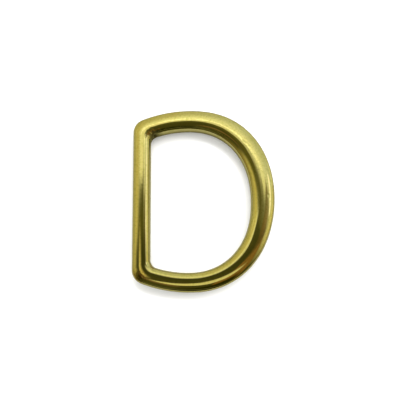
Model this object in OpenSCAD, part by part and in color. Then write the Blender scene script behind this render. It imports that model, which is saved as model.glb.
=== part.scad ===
// A D ring cast in solid brass and polished. A strap is folded round its straight bar,
// and a hook or a second ring pulls on its bow.
// It lies on the flat ground along its underside: the bar runs along Y on the -X side,
// and the bow swells towards +X. The origin is under the middle of its bounding box.

/* [Opening] */
// Clear length along the bar, which is the width of strap that it takes
opening_length = 25.4; // [18:0.1:40]
// Clear depth from the bar to the crown of the bow
opening_depth = 17.4; // [14:0.1:26]

/* [Metal] */
// Width of the bar, seen from above
bar_width = 3.1; // [2:0.1:4.5]
// Width of the bow at its shoulders, where the ring is longest
shoulder_width = 3.5; // [2.4:0.1:5]
// Width of the bow at its crown
crown_width = 4; // [2.4:0.1:5.5]
// Height from the flat underside to the crest
ring_height = 3.4; // [2.4:0.1:5]
// Width of the flat that is ground along the underside
flat_width = 1.2; // [0.8:0.1:1.6]

/* [Bends] */
// Radius inside the two corners
inner_corner_r = 1.5; // [0.6:0.1:3]
// Radius outside the two corners
outer_corner_r = 2.5; // [0.6:0.1:3]
// Radius of the long bend from each corner to the top of the bow, inside
inner_shoulder_r = 18; // [14:1:60]
// Radius of the long bend from each corner to the top of the bow, outside
outer_shoulder_r = 23; // [20:1:60]
// Distance from the inside of the bar to where the opening is longest
inner_apex_run = 6.5; // [4:0.1:9]
// Distance from the inside of the bar to where the whole ring is longest
outer_apex_run = 6.9; // [4:0.1:10]

/* [Hidden] */

// How square the bow is, inside and outside, as an exponent: 2 is an ellipse
INNER_BOW_EXPONENT = 2.2;
OUTER_BOW_EXPONENT = 2.2;

// Steps along each stretch of half the ring
BAR_STEPS = 4;
CORNER_STEPS = 8;
SHOULDER_STEPS = 6;
BOW_STEPS = 26;
// Steps round each quarter of the section
QUARTER_STEPS = 7;

// Landmarks of the section. Their x is a share of the width, counted from the opening
// outwards, and their y is a share of the height.
INNER_WAIST = [0, 0.58];
CREST = [0.47, 1];
OUTER_WAIST = [1, 0.72];

// How square each quarter of the section is, as an exponent: 2 is an ellipse
INNER_TOP_EXPONENT = 2.6;
OUTER_TOP_EXPONENT = 2.3;
FOOT_EXPONENT = 2;

// Half widths and half lengths, from the middle of the opening
inner_bar_x = -opening_depth / 2;
inner_crown_x = opening_depth / 2;
inner_apex = [inner_bar_x + inner_apex_run, opening_length / 2];
outer_apex = [inner_bar_x + outer_apex_run, opening_length / 2 + shoulder_width];
outer_bar_x = inner_bar_x - bar_width;
outer_crown_x = inner_crown_x + crown_width;
centre_x = (outer_bar_x + outer_crown_x) / 2;

// Centre of the long bend that ends level at the apex
function shoulder_centre(apex, shoulder_r) = [apex.x, apex.y - shoulder_r];

// Centre of the corner, which touches the bar's edge and the long bend from inside
function corner_centre(bar_x, apex, shoulder_r, corner_r) =
    let (
        run = apex.x - bar_x - corner_r,
        rise = sqrt(pow(shoulder_r - corner_r, 2) - run * run)
    )
    [bar_x + corner_r, apex.y - shoulder_r + rise];

// Points of an arc, leaving out its last one
function arc(centre, r, from, to, steps) = [
    for (i = [0 : steps - 1])
        let (angle = from + (to - from) * i / steps)
        centre + r * [cos(angle), sin(angle)]
];

// Half of one edge of the ring, from the middle of the bar to the crown
function half_outline(bar_x, apex, crown_x, shoulder_r, corner_r, exponent) =
    let (
        shoulder = shoulder_centre(apex, shoulder_r),
        corner = corner_centre(bar_x, apex, shoulder_r, corner_r),
        turn = atan2(corner.y - shoulder.y, corner.x - shoulder.x),
        power = 2 / exponent
    )
    concat(
        [for (i = [0 : BAR_STEPS - 1]) [bar_x, corner.y * i / BAR_STEPS]],
        arc(corner, corner_r, 180, turn, CORNER_STEPS),
        arc(shoulder, shoulder_r, turn, 90, SHOULDER_STEPS),
        [
            for (i = [0 : BOW_STEPS])
                let (angle = 90 - 90 * i / BOW_STEPS)
                [
                    apex.x + (crown_x - apex.x) * pow(cos(angle), power),
                    apex.y * pow(sin(angle), power)
                ]
        ]
    );

// The whole edge, with its second half mirrored from the first
function outline(half) = concat(
    half,
    [for (i = [len(half) - 2 : -1 : 1]) [half[i].x, -half[i].y]]
);

// Points of one quarter of the section from a waist to the crest or to the flat
function quarter(waist, end, exponent) = [
    for (i = [0 : QUARTER_STEPS])
        let (angle = 90 * i / QUARTER_STEPS, power = 2 / exponent)
        [
            end.x + (waist.x - end.x) * pow(cos(angle), power),
            waist.y + (end.y - waist.y) * pow(sin(angle), power)
        ]
];

function reversed(points) = [for (i = [len(points) - 1 : -1 : 0]) points[i]];

function without_last(points) = [for (i = [0 : len(points) - 2]) points[i]];

// The section as shares of a width and of the height, from the inner waist over the crest
function section(width) =
    let (
        half_flat = flat_width / width / 2,
        inner_foot = [CREST.x - half_flat, 0],
        outer_foot = [CREST.x + half_flat, 0]
    )
    concat(
        without_last(quarter(INNER_WAIST, CREST, INNER_TOP_EXPONENT)),
        without_last(reversed(quarter(OUTER_WAIST, CREST, OUTER_TOP_EXPONENT))),
        quarter(OUTER_WAIST, outer_foot, FOOT_EXPONENT),
        without_last(reversed(quarter(INNER_WAIST, inner_foot, FOOT_EXPONENT)))
    );

// Skin of the ring: one loop of points at each place along it, joined to the next loop
module d_ring() {
    inner = outline(half_outline(
        inner_bar_x, inner_apex, inner_crown_x, inner_shoulder_r, inner_corner_r, INNER_BOW_EXPONENT
    ));
    outer = outline(half_outline(
        outer_bar_x, outer_apex, outer_crown_x, outer_shoulder_r, outer_corner_r, OUTER_BOW_EXPONENT
    ));
    loops = len(inner);
    loop = [for (k = [0 : loops - 1]) section(norm(outer[k] - inner[k]))];
    sides = len(loop[0]);
    points = [
        for (k = [0 : loops - 1], j = [0 : sides - 1])
            let (plan = inner[k] + loop[k][j].x * (outer[k] - inner[k]))
            [plan.x - centre_x, plan.y, loop[k][j].y * ring_height]
    ];
    faces = [
        for (k = [0 : loops - 1], j = [0 : sides - 1])
            let (next_loop = (k + 1) % loops, next_side = (j + 1) % sides)
            [
                k * sides + j,
                k * sides + next_side,
                next_loop * sides + next_side,
                next_loop * sides + j
            ]
    ];
    color("goldenrod") polyhedron(points, faces, convexity = 4);
}

d_ring();
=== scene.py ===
import math

import bmesh
import bpy
from mathutils import Matrix, Quaternion, Vector, noise


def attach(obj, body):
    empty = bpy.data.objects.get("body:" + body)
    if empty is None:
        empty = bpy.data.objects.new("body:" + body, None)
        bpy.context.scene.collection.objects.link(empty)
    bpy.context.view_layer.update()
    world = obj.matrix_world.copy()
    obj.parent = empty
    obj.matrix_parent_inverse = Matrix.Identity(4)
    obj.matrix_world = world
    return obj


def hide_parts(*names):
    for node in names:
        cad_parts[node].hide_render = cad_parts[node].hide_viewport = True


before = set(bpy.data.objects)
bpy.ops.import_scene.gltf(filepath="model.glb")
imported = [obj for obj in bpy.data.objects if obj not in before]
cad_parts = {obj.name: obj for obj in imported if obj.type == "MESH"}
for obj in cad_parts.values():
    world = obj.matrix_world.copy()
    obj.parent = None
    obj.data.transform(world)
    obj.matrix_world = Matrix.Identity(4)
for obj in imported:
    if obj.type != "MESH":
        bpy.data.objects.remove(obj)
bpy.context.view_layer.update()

# Camera.
# The ring is looked down on from close by, a little from the end of the bar nearest the viewer,
# so the far side of the bow shows its inner wall and the near side its outer wall.
camera_elevation = math.radians(75.7)
camera_azimuth = math.radians(-0.73)
camera_distance = 0.1179
camera_aim = Vector((-0.00057, 0.0004, 0.0))
camera_lens = 59.85
camera_sensor = 36.0
camera_nearest = 0.005
camera_farthest = 10.0

camera_data = bpy.data.cameras.new("camera")
camera_data.lens = camera_lens
camera_data.sensor_width = camera_sensor
camera_data.clip_start = camera_nearest
camera_data.clip_end = camera_farthest
camera = bpy.data.objects.new("camera", camera_data)
bpy.context.collection.objects.link(camera)
towards_camera = Vector((
    math.cos(camera_elevation) * math.sin(camera_azimuth),
    -math.cos(camera_elevation) * math.cos(camera_azimuth),
    math.sin(camera_elevation),
))
camera.location = camera_aim + camera_distance * towards_camera
camera.rotation_euler = (-towards_camera).to_track_quat("-Z", "Y").to_euler()
bpy.context.scene.camera = camera

# Floor.
# A plain pale sheet, wide enough that its edge never shows. It shines white to the viewer, and the
# polish of the ring takes it up dimmer.
floor_half_width = 1.5
floor_colour = (0.86, 0.86, 0.85, 1.0)
floor_colour_in_polish = (0.33, 0.33, 0.325, 1.0)
floor_roughness = 0.9
floor_gloss = 0.1


def wired(tree, kind, inputs, **settings):
    """A new node with the given settings, and with its inputs set or linked."""
    node = tree.nodes.new(kind)
    for name, value in settings.items():
        setattr(node, name, value)
    for place, value in inputs.items():
        if isinstance(value, bpy.types.NodeSocket):
            tree.links.new(value, node.inputs[place])
        else:
            node.inputs[place].default_value = value
    return node


def seen_or_mirrored(tree, seen, mirrored):
    """One colour for what is seen or lit by it directly, and another for what the polish mirrors."""
    mirror_ray = wired(tree, "ShaderNodeLightPath", {}).outputs["Is Glossy Ray"]
    mix = {"Factor": mirror_ray, 6: seen, 7: mirrored}
    return wired(tree, "ShaderNodeMix", mix, data_type="RGBA").outputs[2]


floor_material = bpy.data.materials.new("pale_floor")
floor_material.use_nodes = True
floor_tree = floor_material.node_tree
floor_shader = floor_tree.nodes["Principled BSDF"]
floor_mix = seen_or_mirrored(floor_tree, floor_colour, floor_colour_in_polish)
floor_tree.links.new(floor_mix, floor_shader.inputs["Base Color"])
floor_shader.inputs["Roughness"].default_value = floor_roughness
floor_shader.inputs["Specular IOR Level"].default_value = floor_gloss

bm = bmesh.new()
bmesh.ops.create_grid(bm, x_segments=1, y_segments=1, size=floor_half_width)
floor_mesh = bpy.data.meshes.new("floor")
bm.to_mesh(floor_mesh)
bm.free()
floor_mesh.materials.append(floor_material)
floor = bpy.data.objects.new("floor", floor_mesh)
bpy.context.collection.objects.link(floor)

# Ring.
# One casting in solid brass: a straight bar that runs into a bow through two tight corners.
# It is ground flat underneath, domed on top and polished by hand along its length.
opening_length = 0.0254
opening_depth = 0.0174
bar_width = 0.0031
shoulder_width = 0.0035
crown_width = 0.004
ring_height = 0.0034
flat_width = 0.0012
inner_corner_r = 0.0015
outer_corner_r = 0.0025
inner_shoulder_r = 0.018
outer_shoulder_r = 0.023
inner_apex_run = 0.0065
outer_apex_run = 0.0069

# How square the bow is, inside and outside, as an exponent: 2 is an ellipse
inner_bow_exponent = 2.2
outer_bow_exponent = 2.2

# Where the edges of the bar and of the crown lie, counted from the middle of the opening
inner_bar_x = -opening_depth / 2
inner_crown_x = opening_depth / 2
outer_bar_x = inner_bar_x - bar_width
outer_crown_x = inner_crown_x + crown_width
centre_x = (outer_bar_x + outer_crown_x) / 2

# Steps along half the ring, and round the section
bar_steps = 60
corner_steps = 30
shoulder_steps = 60
bow_steps = 210
quarter_steps = 24

# Landmarks of the section: a share of the width from the opening outwards, and of the height
inner_waist = (0.0, 0.58)
crest = (0.47, 1.0)
outer_waist = (1.0, 0.72)
# The crest is never farther than this from the opening, which tells where the metal is widest, on
# the far half of the bow
crest_reach = 0.0019
# How square each quarter of the section is, as an exponent: 2 is an ellipse
inner_top_exponent = 2.6
outer_top_exponent = 2.3
foot_exponent = 2.0


def arc(centre, radius, start, end, steps):
    """Points of an arc in the plan, leaving out its last one."""
    turns = [start + (end - start) * step / steps for step in range(steps)]
    return [centre + radius * Vector((math.cos(turn), math.sin(turn))) for turn in turns]


def half_outline(bar_x, apex, crown_x, shoulder_r, corner_r, exponent):
    """Half of one edge of the ring, from the middle of the bar to the crown."""
    run = apex.x - bar_x - corner_r
    rise = math.sqrt((shoulder_r - corner_r) ** 2 - run ** 2)
    shoulder = Vector((apex.x, apex.y - shoulder_r))
    corner = Vector((bar_x + corner_r, shoulder.y + rise))
    turn = math.atan2(rise, -run)
    points = [Vector((bar_x, corner.y * step / bar_steps)) for step in range(bar_steps)]
    points += arc(corner, corner_r, math.pi, turn, corner_steps)
    points += arc(shoulder, shoulder_r, turn, math.pi / 2, shoulder_steps)
    for step in range(bow_steps + 1):
        angle = math.pi / 2 * (1 - step / bow_steps)
        across = max(math.cos(angle), 0.0) ** (2 / exponent)
        along = math.sin(angle) ** (2 / exponent)
        points.append(Vector((apex.x + (crown_x - apex.x) * across, apex.y * along)))
    return points


def whole_outline(half):
    """The whole edge, with its second half mirrored from the first."""
    return half + [Vector((point.x, -point.y)) for point in half[-2:0:-1]]


def quarter(waist, top, exponent):
    """Points of one quarter of the section, from a waist to the crest or to the flat."""
    points = []
    for step in range(quarter_steps + 1):
        angle = math.pi / 2 * step / quarter_steps
        across = max(math.cos(angle), 0.0) ** (2 / exponent)
        up = math.sin(angle) ** (2 / exponent)
        points.append((top[0] + (waist[0] - top[0]) * across, waist[1] + (top[1] - waist[1]) * up))
    return points


def section(width):
    """The section as shares of a width and of the height, from the inner waist over the crest."""
    half_flat = flat_width / width / 2
    inner_foot = (crest[0] - half_flat, 0.0)
    outer_foot = (crest[0] + half_flat, 0.0)
    top = (min(crest[0], crest_reach / width), crest[1])
    points = quarter(inner_waist, top, inner_top_exponent)[:-1]
    points += quarter(outer_waist, top, outer_top_exponent)[:0:-1]
    points += quarter(outer_waist, outer_foot, foot_exponent)
    points += quarter(inner_waist, inner_foot, foot_exponent)[:0:-1]
    return points


inner_edge = whole_outline(half_outline(
    inner_bar_x,
    Vector((inner_bar_x + inner_apex_run, opening_length / 2)),
    inner_crown_x,
    inner_shoulder_r,
    inner_corner_r,
    inner_bow_exponent,
))
outer_edge = whole_outline(half_outline(
    outer_bar_x,
    Vector((inner_bar_x + outer_apex_run, opening_length / 2 + shoulder_width)),
    outer_crown_x,
    outer_shoulder_r,
    outer_corner_r,
    outer_bow_exponent,
))

# Hand polishing and wear have left the opening a little off the middle and a little wide, and the
# bow fuller on its far side, on its far shoulder and at its crown, and slimmer on its near shoulder
opening_drift = -0.00012
opening_wear = 0.00002
shoulder_swell = 0.00018
crown_swell = 0.00013
far_swell = 0.00005
# How closely the swells at the crown and on the far side keep to their places, as exponents
crown_focus = 10
far_focus = 4


def outwards(point, middle):
    """The direction from a place on the X axis out to a point."""
    return (point - Vector((middle, 0.0))).normalized()


def worn(point):
    """A point of the inner edge, moved as far as the wear of the real ring shows."""
    return point + opening_wear * outwards(point, 0.0) + Vector((0.0, opening_drift))


def polished(point):
    """A point of the outer edge, moved as far as the hand finish of the real ring shows."""
    direction = outwards(point, centre_x)
    to_crown = max(direction.x, 0.0)
    to_far = max(direction.y, 0.0)
    swell = 2 * shoulder_swell * to_crown * direction.y
    swell += crown_swell * to_crown ** crown_focus + far_swell * to_far ** far_focus
    return point + swell * direction


inner_edge = [worn(point) for point in inner_edge]
outer_edge = [polished(point) for point in outer_edge]

# Marks left by casting and use on the top, each an oval dent with its long axis turned from +X, or
# a bump where the depth is negative: x, y, half length, half width, turn in degrees, depth
marks = (
    (0.00741, 0.01035, 0.00055, 0.00016, -52, 0.00003),
    (0.00827, 0.00947, 0.00022, 0.00016, -52, 0.000018),
    (0.01125, 0.00026, 0.00016, 0.00026, 0, 0.000012),
    (0.00895, -0.00048, 0.00018, 0.00014, 0, 0.00002),
    (0.01003, 0.00564, 0.0002, 0.00014, 80, 0.000006),
    (0.01027, 0.0047, 0.00018, 0.00014, 95, -0.000005),
    (0.00985, 0.0051, 0.00016, 0.00012, 60, -0.000005),
    (0.01035, 0.00395, 0.0002, 0.00012, 90, 0.000005),
    (-0.01063, 0.00262, 0.00014, 0.00008, 90, -0.0000022),
    (-0.01045, 0.0044, 0.0003, 0.00008, 90, 0.0000015),
)
# The marks are kept to skin that faces up by at least this much
marked_slope = 0.2

# Rough cast skin that the polishing did not reach: x, y, z, reach, height of its lumps
cast_skin = (
    (-0.0086, 0.0116, 0.0022, 0.0021, 0.00011),
    (-0.0089, -0.0113, 0.0019, 0.0009, 0.00006),
)
# Its lumps: how far apart they are, how fast the finer ones fade, how much finer each layer of them
# is, and how many layers there are
lump_pitch = 0.00035
lump_fading = 0.8
lump_fineness = 2.0
lump_layers = 3

# Speckled tarnish: x, y, z, reach
speckles = (
    (-0.0109, -0.0136, 0.0032, 0.0018),
    (-0.0086, -0.0117, 0.0028, 0.0014),
)

# The polishing leaves long shallow waves, shorter across the metal than along it
wave_along = 0.0045
wave_across = 0.0011
wave_height = 0.000004

# The far slope of the bow has a satin finish: the y, the share of the width and the share of the
# height where it starts, and how much of each it takes to come up full
satin_start = (0.003, 0.45, 0.4)
satin_run = (0.006, 0.25, 0.2)

# Points of the mesh that lie closer than this are merged
seam_gap = 1e-7


def eased(value):
    """A share from 0 to 1 that starts and stops softly."""
    value = min(max(value, 0.0), 1.0)
    return value * value * (3 - 2 * value)


def mark_depth(point):
    """How deep the marks go at one point of the top."""
    depth = 0.0
    for mark_x, mark_y, half_length, half_width, turn, mark in marks:
        away = Vector((point.x - mark_x, point.y - mark_y))
        turned = math.atan2(away.y, away.x) - math.radians(turn)
        along = away.length * math.cos(turned) / half_length
        aside = away.length * math.sin(turned) / half_width
        depth += mark * math.exp(-along ** 2 - aside ** 2)
    return depth


def share_near(point, place, reach):
    """How much of a patch about a place is left at a point: 1 at the place, 0 at its reach."""
    return eased(1 - (point - Vector(place)).length / reach)


# A flat grid is bent along the ring and rolled round its section, and its seams are merged
places = len(inner_edge)
middle = [(inner + outer) / 2 for inner, outer in zip(inner_edge, outer_edge)]
runs = [0.0]
for start, end in zip(middle, middle[1:] + middle[:1]):
    runs.append(runs[-1] + (end - start).length)
loop_radius = runs[-1] / (2 * math.pi)
sections = [section((outer - inner).length) for inner, outer in zip(inner_edge, outer_edge)]
sides = len(sections[0])
bm = bmesh.new()
grain = bm.verts.layers.float_vector.new("grain")
satin = bm.verts.layers.float.new("satin")
skin = bm.verts.layers.float.new("skin")
speckled = bm.verts.layers.float.new("speckled")
bmesh.ops.create_grid(bm, x_segments=places, y_segments=sides, size=0.5)
for vertex in bm.verts:
    place = round((vertex.co.x + 0.5) * places) % places
    side = round((vertex.co.y + 0.5) * sides) % sides
    inner = inner_edge[place]
    outer = outer_edge[place]
    across, up = sections[place][side]
    plan = inner + across * (outer - inner)
    vertex.co = (plan.x - centre_x, plan.y, up * ring_height)
    # The grain runs along the ring, and its seam is on the underside
    turn = runs[place] / loop_radius
    roll = math.atan2((across - crest[0]) * (outer - inner).length, (up - 0.5) * ring_height)
    along = loop_radius * Vector((math.cos(turn), math.sin(turn)))
    vertex[grain] = (along.x, along.y, roll * ring_height / 2)
    reached = zip((plan.y, across, up), satin_start, satin_run)
    vertex[satin] = math.prod(eased((value - start) / run) for value, start, run in reached)
bmesh.ops.remove_doubles(bm, verts=bm.verts, dist=seam_gap)
bmesh.ops.recalc_face_normals(bm, faces=bm.faces)
bm.normal_update()
for vertex in bm.verts:
    wave_place = Vector(vertex[grain])
    wave_place.xy /= wave_along
    wave_place.z /= wave_across
    rise = wave_height * noise.noise(wave_place)
    if vertex.normal.z > marked_slope:
        rise -= mark_depth(vertex.co)
    for *place, reach, lump_height in cast_skin:
        share = share_near(vertex.co, place, reach)
        vertex[skin] = max(vertex[skin], share)
        lumps = noise.fractal(vertex.co / lump_pitch, lump_fading, lump_fineness, lump_layers)
        rise += share * lump_height * lumps
    for *place, reach in speckles:
        vertex[speckled] = max(vertex[speckled], share_near(vertex.co, place, reach))
    vertex.co += rise * vertex.normal
for face in bm.faces:
    face.smooth = True
ring_mesh = bpy.data.meshes.new("ring")
bm.to_mesh(ring_mesh)
bm.free()
ring = bpy.data.objects.new("ring", ring_mesh)
bpy.context.collection.objects.link(ring)

brass_colour = (0.59, 0.525, 0.195, 1.0)
warm_colour = (0.575, 0.49, 0.165, 1.0)
fleck_colour = (0.50, 0.46, 0.14, 1.0)
skin_colour = (0.05, 0.042, 0.008, 1.0)
speckle_colour = (0.24, 0.13, 0.025, 1.0)
edge_colour = (0.85, 0.80, 0.55, 1.0)
polished_roughness = 0.03
satin_roughness = 0.1
skin_roughness = 0.55

# Unevenness of the finish, as noise: how fine it is, the values of the noise where it starts and
# where it is full, and how much fine detail it has
warm_patches = (350.0, 0.5, 0.75, 2.0)
fleck_patches = (2400.0, 0.48, 0.7, 3.0)
skin_patches = (2600.0, 0.15, 0.42, 4.0)
speckle_patches = (3500.0, 0.4, 0.62, 3.0)
scratch_patches = (3500.0, 0.3, 0.7, 2.0)
mottle_patches = (4200.0, 0.3, 0.7, 2.0)
# Scratches are drawn out along the ring, and the mottle is part of the satin finish
scratch_stretch = (0.06, 0.06, 1.0)
scratch_height = 0.000002
mottle_height = 0.000009

brass = bpy.data.materials.new("polished_brass")
brass.use_nodes = True
brass_tree = brass.node_tree
brass_shader = brass_tree.nodes["Principled BSDF"]


def share_of(name):
    """One of the shares stored on the mesh."""
    return wired(brass_tree, "ShaderNodeAttribute", {}, attribute_name=name).outputs["Fac"]


def patches(place, scale, low, high, detail):
    """Noise at a scale, stretched so that it runs from 0 at the low value to 1 at the high one."""
    cloud = {"Vector": place, "Scale": scale, "Detail": detail}
    height = wired(brass_tree, "ShaderNodeTexNoise", cloud).outputs[0]
    steps = {"Value": height, "From Min": low, "From Max": high}
    return wired(brass_tree, "ShaderNodeMapRange", steps).outputs[0]


def times(first, second):
    """The product of two numbers."""
    return wired(brass_tree, "ShaderNodeMath", {0: first, 1: second}, operation="MULTIPLY").outputs[0]


def blended(share, first, second):
    """The first colour where the share is 0, and the second where it is 1."""
    mix = {"Factor": share, 6: first, 7: second}
    return wired(brass_tree, "ShaderNodeMix", mix, data_type="RGBA").outputs[2]


def stepped(share, first, second):
    """The first number where the share is 0, and the second where it is 1."""
    return wired(brass_tree, "ShaderNodeMix", {"Factor": share, 2: first, 3: second}).outputs[0]


solid_place = wired(brass_tree, "ShaderNodeTexCoord", {}).outputs["Object"]
grain_place = wired(brass_tree, "ShaderNodeAttribute", {}, attribute_name="grain").outputs["Vector"]
stretch = {"Vector": grain_place, "Scale": scratch_stretch}
scratch_place = wired(brass_tree, "ShaderNodeMapping", stretch).outputs[0]
skin_share = times(share_of("skin"), patches(solid_place, *skin_patches))
speckle_share = times(share_of("speckled"), patches(solid_place, *speckle_patches))

colour = blended(patches(solid_place, *warm_patches), brass_colour, warm_colour)
colour = blended(patches(solid_place, *fleck_patches), colour, fleck_colour)
colour = blended(speckle_share, colour, speckle_colour)
colour = blended(skin_share, colour, skin_colour)
roughness = stepped(share_of("satin"), polished_roughness, satin_roughness)
roughness = stepped(skin_share, roughness, skin_roughness)
scratches = patches(scratch_place, *scratch_patches)
mottle = times(share_of("satin"), patches(solid_place, *mottle_patches))
scratch_bump = {"Height": scratches, "Distance": scratch_height}
bumped = wired(brass_tree, "ShaderNodeBump", scratch_bump).outputs[0]
mottle_bump = {"Height": mottle, "Distance": mottle_height, "Normal": bumped}
bumped = wired(brass_tree, "ShaderNodeBump", mottle_bump).outputs[0]

brass_tree.links.new(colour, brass_shader.inputs["Base Color"])
brass_tree.links.new(roughness, brass_shader.inputs["Roughness"])
brass_tree.links.new(bumped, brass_shader.inputs["Normal"])
brass_shader.inputs["Metallic"].default_value = 1.0
brass_shader.inputs["Specular Tint"].default_value = edge_colour
ring_mesh.materials.append(brass)

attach(ring, "root")
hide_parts("d_ring")

# Light.
# A pale room and one soft lamp on the far side light the floor. The polish mirrors a sky that is
# bright on the far side and dark on the viewer's, and four soft cards close by, two dark and two
# light, cross the bands that it makes.
room_light = (1.34, 1.34, 1.33, 1.0)
key_tilt = math.radians(27)
key_heading = math.radians(60)
key_distance = 1.2
key_size = (1.6, 0.4)
key_watts = 13.0
# The cards hang at this distance, each a little lower than the one before, and turn their edges to
# the far side of the bow
card_distance = 0.0429
card_gap = 0.0005
card_sides = 48
far_side = Vector((0.0, 0.014, 0.0025))

world = bpy.data.worlds.new("studio")
world.use_nodes = True
bpy.context.scene.world = world
sky_tree = world.node_tree


def from_zenith(tilt, heading):
    """The direction that leans from straight up by one angle, towards a heading counted from +X."""
    level = math.sin(tilt)
    return Vector((level * math.cos(heading), level * math.sin(heading), math.cos(tilt)))


# The sky as a chart: x and y are degrees from straight up, to the crown and to the bar's far end
direction = wired(sky_tree, "ShaderNodeTexCoord", {}).outputs["Generated"]
parts = wired(sky_tree, "ShaderNodeSeparateXYZ", {0: direction}).outputs
level = wired(sky_tree, "ShaderNodeCombineXYZ", {0: parts[0], 1: parts[1]}).outputs[0]
reach = wired(sky_tree, "ShaderNodeVectorMath", {0: level}, operation="LENGTH").outputs["Value"]
tilt = wired(sky_tree, "ShaderNodeMath", {0: reach, 1: parts[2]}, operation="ARCTAN2").outputs[0]
degrees = wired(sky_tree, "ShaderNodeMath", {0: tilt}, operation="DEGREES").outputs[0]
heading = wired(sky_tree, "ShaderNodeVectorMath", {0: level}, operation="NORMALIZE").outputs[0]
scaled = {0: heading, "Scale": degrees}
chart = wired(sky_tree, "ShaderNodeVectorMath", scaled, operation="SCALE").outputs[0]


def soft_cover(tree, place, softness):
    """How far a point lies under a round patch of radius 1 with a soft edge, from 0 to 1."""
    away = wired(tree, "ShaderNodeVectorMath", {0: place}, operation="LENGTH").outputs["Value"]
    edge = {"Value": away, "From Min": 1.0 + softness, "From Max": 1.0 - softness}
    return wired(tree, "ShaderNodeMapRange", edge, interpolation_type="SMOOTHSTEP").outputs[0]


def soft_patch(sky, centre, radii, turn, softness, colour):
    """The sky with one more ellipse of light, or of darkness, laid over it with a soft edge."""
    ellipse = {
        "Vector": chart,
        "Location": (*centre, 0.0),
        "Rotation": (0.0, 0.0, math.radians(turn)),
        "Scale": (*radii, 1.0),
    }
    place = wired(sky_tree, "ShaderNodeMapping", ellipse, vector_type="TEXTURE").outputs[0]
    mix = {"Factor": soft_cover(sky_tree, place, softness), 6: sky, 7: (*colour, 1.0)}
    return wired(sky_tree, "ShaderNodeMix", mix, data_type="RGBA").outputs[2]


# Each patch of the sky on the chart: its centre, its half length and half width, its turn in
# degrees, how soft its edge is from 0 to 1, and its colour. A later patch covers the earlier ones.
dark_sky = (0.086, 0.081, 0.022, 1.0)
sky_patches = (
    # A low glow behind the bar, and a lamp's glow beyond the crown
    ((-105, -30), (35, 120), -20, 1.0, (0.5, 0.4, 0.15)),
    ((56, 17), (25, 37), 27, 0.75, (1.1, 1.0, 0.6)),
    # The wide window on the far side, with its dimmer half towards the crown
    ((12, 132), (129, 93), 50, 0.05, (1.6, 1.6, 1.25)),
    ((75, 109), (121, 46), 31, 0.3, (0.75, 0.75, 0.57)),
    # The dim wall between the window and the bar, and the bright sill beyond the crown
    ((-56, 64), (60, 47), -89, 0.4, (0.67, 0.63, 0.35)),
    ((130, 90), (145, 33), 30, 0.05, (1.3, 1.3, 1.15)),
    # Brown gloom over the near shoulder, and a dark strip almost straight above
    ((24, -22), (15, 40), 8, 0.05, (0.32, 0.18, 0.05)),
    ((-13, 10), (4, 36), 96, 1.0, (0.15, 0.14, 0.03)),
    # Darkness low on the viewer's side, and a cool pane between the window and the lamp
    ((11, -69), (25, 47), -17, 0.15, (0.03, 0.03, 0.0)),
    ((44, 49), (36, 30), 95, 0.7, (0.8, 0.85, 0.75)),
    # A faint brown spot, and a faint line low on the viewer's side
    ((-14, -13), (6, 15), 30, 0.3, (0.25, 0.17, 0.08)),
    ((-10, -60), (50, 4), 2, 0.6, (0.2, 0.2, 0.12)),
    # A bright strip in front of the window, the lamp itself, and a warm haze towards the bar
    ((-24, 23), (26, 5), -11, 0.15, (1.3, 1.25, 0.95)),
    ((38, 16), (6, 8), 10, 0.15, (1.75, 1.65, 1.75)),
    ((-34, 21), (12, 33), -38, 0.8, (0.85, 0.75, 0.35)),
    # A bright spot that the crown's crest mirrors, and the bright line along the far crest
    ((11, 22), (7, 7), 0, 0.25, (1.25, 1.25, 1.05)),
    ((2, 21.3), (12, 1.3), -6, 0.6, (2.1, 2.05, 1.85)),
)
sky = dark_sky
for patch in sky_patches:
    sky = soft_patch(sky, *patch)
sky = seen_or_mirrored(sky_tree, room_light, sky)
sky_tree.links.new(sky, sky_tree.nodes["Background"].inputs["Color"])

key_data = bpy.data.lights.new("key", "AREA")
key_data.shape = "RECTANGLE"
key_data.size, key_data.size_y = key_size
key_data.energy = key_watts
key = bpy.data.objects.new("key", key_data)
key.location = key_distance * from_zenith(key_tilt, key_heading)
key.rotation_euler = key.location.to_track_quat("Z", "Y").to_euler()
key.visible_glossy = False
bpy.context.collection.objects.link(key)

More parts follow.
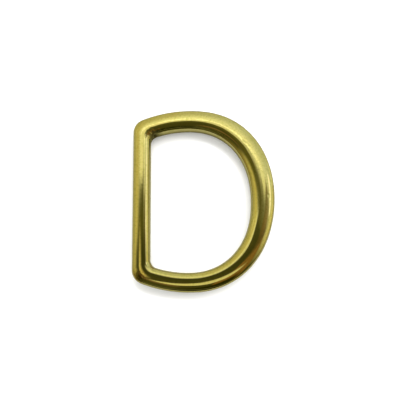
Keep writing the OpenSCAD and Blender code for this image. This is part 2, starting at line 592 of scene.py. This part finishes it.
# The cards close by, with the same columns as the patches
cards = (
    # A wide dark one over the near side, and a narrow dark one over the crown
    ((-9.3, -6.8), (47.5, 13), 10, 0.7, (0.07, 0.07, 0.02)),
    ((14.4, 2.4), (4, 15.5), 25, 0.4, (0.1, 0.1, 0.03)),
    # A warm light one for the near end of the bar, and a light one for the near side of the bow
    ((-24, -13.5), (15.5, 3.3), -73, 0.9, (1.05, 0.9, 0.45)),
    ((1, -29), (23, 9.4), 18, 0.2, (1.0, 0.95, 0.65)),
)
for number, (centre, radii, turn, softness, colour) in enumerate(cards):
    card_material = bpy.data.materials.new("card_%d" % number)
    card_material.use_nodes = True
    card_tree = card_material.node_tree
    card_tree.nodes.clear()
    place = wired(card_tree, "ShaderNodeTexCoord", {}).outputs["Object"]
    glow = wired(card_tree, "ShaderNodeEmission", {"Color": (*colour, 1.0)}).outputs[0]
    clear = wired(card_tree, "ShaderNodeBsdfTransparent", {}).outputs[0]
    mix = {0: soft_cover(card_tree, place, softness), 1: clear, 2: glow}
    shader = wired(card_tree, "ShaderNodeMixShader", mix).outputs[0]
    wired(card_tree, "ShaderNodeOutputMaterial", {"Surface": shader})

    bm = bmesh.new()
    bmesh.ops.create_circle(bm, cap_ends=True, segments=card_sides, radius=1.0 + softness)
    card_mesh = bpy.data.meshes.new("card_%d" % number)
    bm.to_mesh(card_mesh)
    bm.free()
    card_mesh.materials.append(card_material)
    card = bpy.data.objects.new("card_%d" % number, card_mesh)
    lean = Vector(centre)
    upwards = from_zenith(math.radians(lean.length), math.atan2(lean.y, lean.x))
    card.location = (card_distance - card_gap * number) * upwards
    # The card is edge-on to the far side of the bow, so that the far side doesn't mirror it
    away = (far_side - card.location).normalized()
    aside = Vector((1.0, 0.0, 0.0))
    aside = (aside - aside.dot(away) * away).normalized()
    facing = Matrix((aside, away, aside.cross(away))).transposed().to_quaternion()
    card.rotation_mode = "QUATERNION"
    card.rotation_quaternion = facing @ Quaternion((0.0, 0.0, 1.0), math.radians(turn))
    card.scale = [card_distance * math.radians(radius) for radius in (*radii, 1)]
    card.visible_camera = False
    card.visible_diffuse = False
    card.visible_shadow = False
    bpy.context.collection.objects.link(card)

bpy.context.scene.view_settings.view_transform = "Standard"
bpy.context.scene.view_settings.look = "None"
